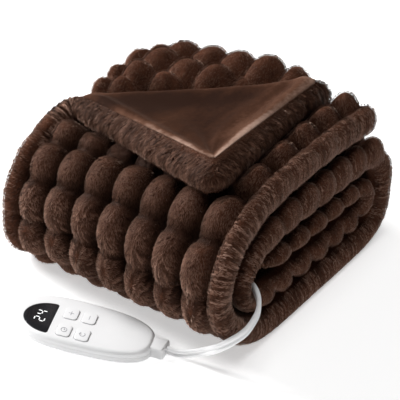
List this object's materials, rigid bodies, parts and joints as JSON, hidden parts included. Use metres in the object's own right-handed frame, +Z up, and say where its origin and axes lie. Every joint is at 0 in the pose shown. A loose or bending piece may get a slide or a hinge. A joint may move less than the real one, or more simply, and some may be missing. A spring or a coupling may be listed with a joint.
{
  "type": "folded heated throw blanket",
  "caption": "Folded faux-fur heated throw with one corner turned over to its plush lining, joined by a short lead to a hand controller with display and keys.",
  "frame": {"origin": "centre of the folded cloth's flat base, on the surface that the throw lies on", "axes": "+Z up, +X towards the side where the folded layers show, -Y towards the rounded front of the fold, where the controller lies"},
  "size_m": [0.331, 0.395, 0.1974],
  "materials": {
    "fur": "dark brown long-pile faux fur, combed, with raised bubbles in columns",
    "lining": "brown short-pile plush with soft light and dark brushed bands",
    "shell": "white satin plastic",
    "screen": "black glossy display window with white lit segments",
    "key": "white satin plastic key with a raised line icon",
    "cable": "white smooth twin-strand lead"
  },
  "bodies": {
    "throw": {"fur_panel": "fur", "lining_panel": "lining", "controller_base": "shell", "controller_cover": "shell", "display_window": "screen", "lead_boot": "shell", "lead": "cable", "lead_socket": "shell"},
    "warmer": {"key_warmer": "key"},
    "cooler": {"key_cooler": "key"},
    "timer": {"key_timer": "key"},
    "power": {"key_power": "key"}
  },
  "joints": [
    {"name": "press_warmer", "type": "slide", "parent": "throw", "child": "warmer", "axis": [0, 0, -1], "range_m": [0, 0.0008], "stiffness_N_per_m": 500},
    {"name": "press_cooler", "type": "slide", "parent": "throw", "child": "cooler", "axis": [0, 0, -1], "range_m": [0, 0.0008], "stiffness_N_per_m": 500},
    {"name": "press_timer", "type": "slide", "parent": "throw", "child": "timer", "axis": [0, 0, -1], "range_m": [0, 0.0008], "stiffness_N_per_m": 500},
    {"name": "press_power", "type": "slide", "parent": "throw", "child": "power", "axis": [0, 0, -1], "range_m": [0, 0.0008], "stiffness_N_per_m": 500}
  ]
}
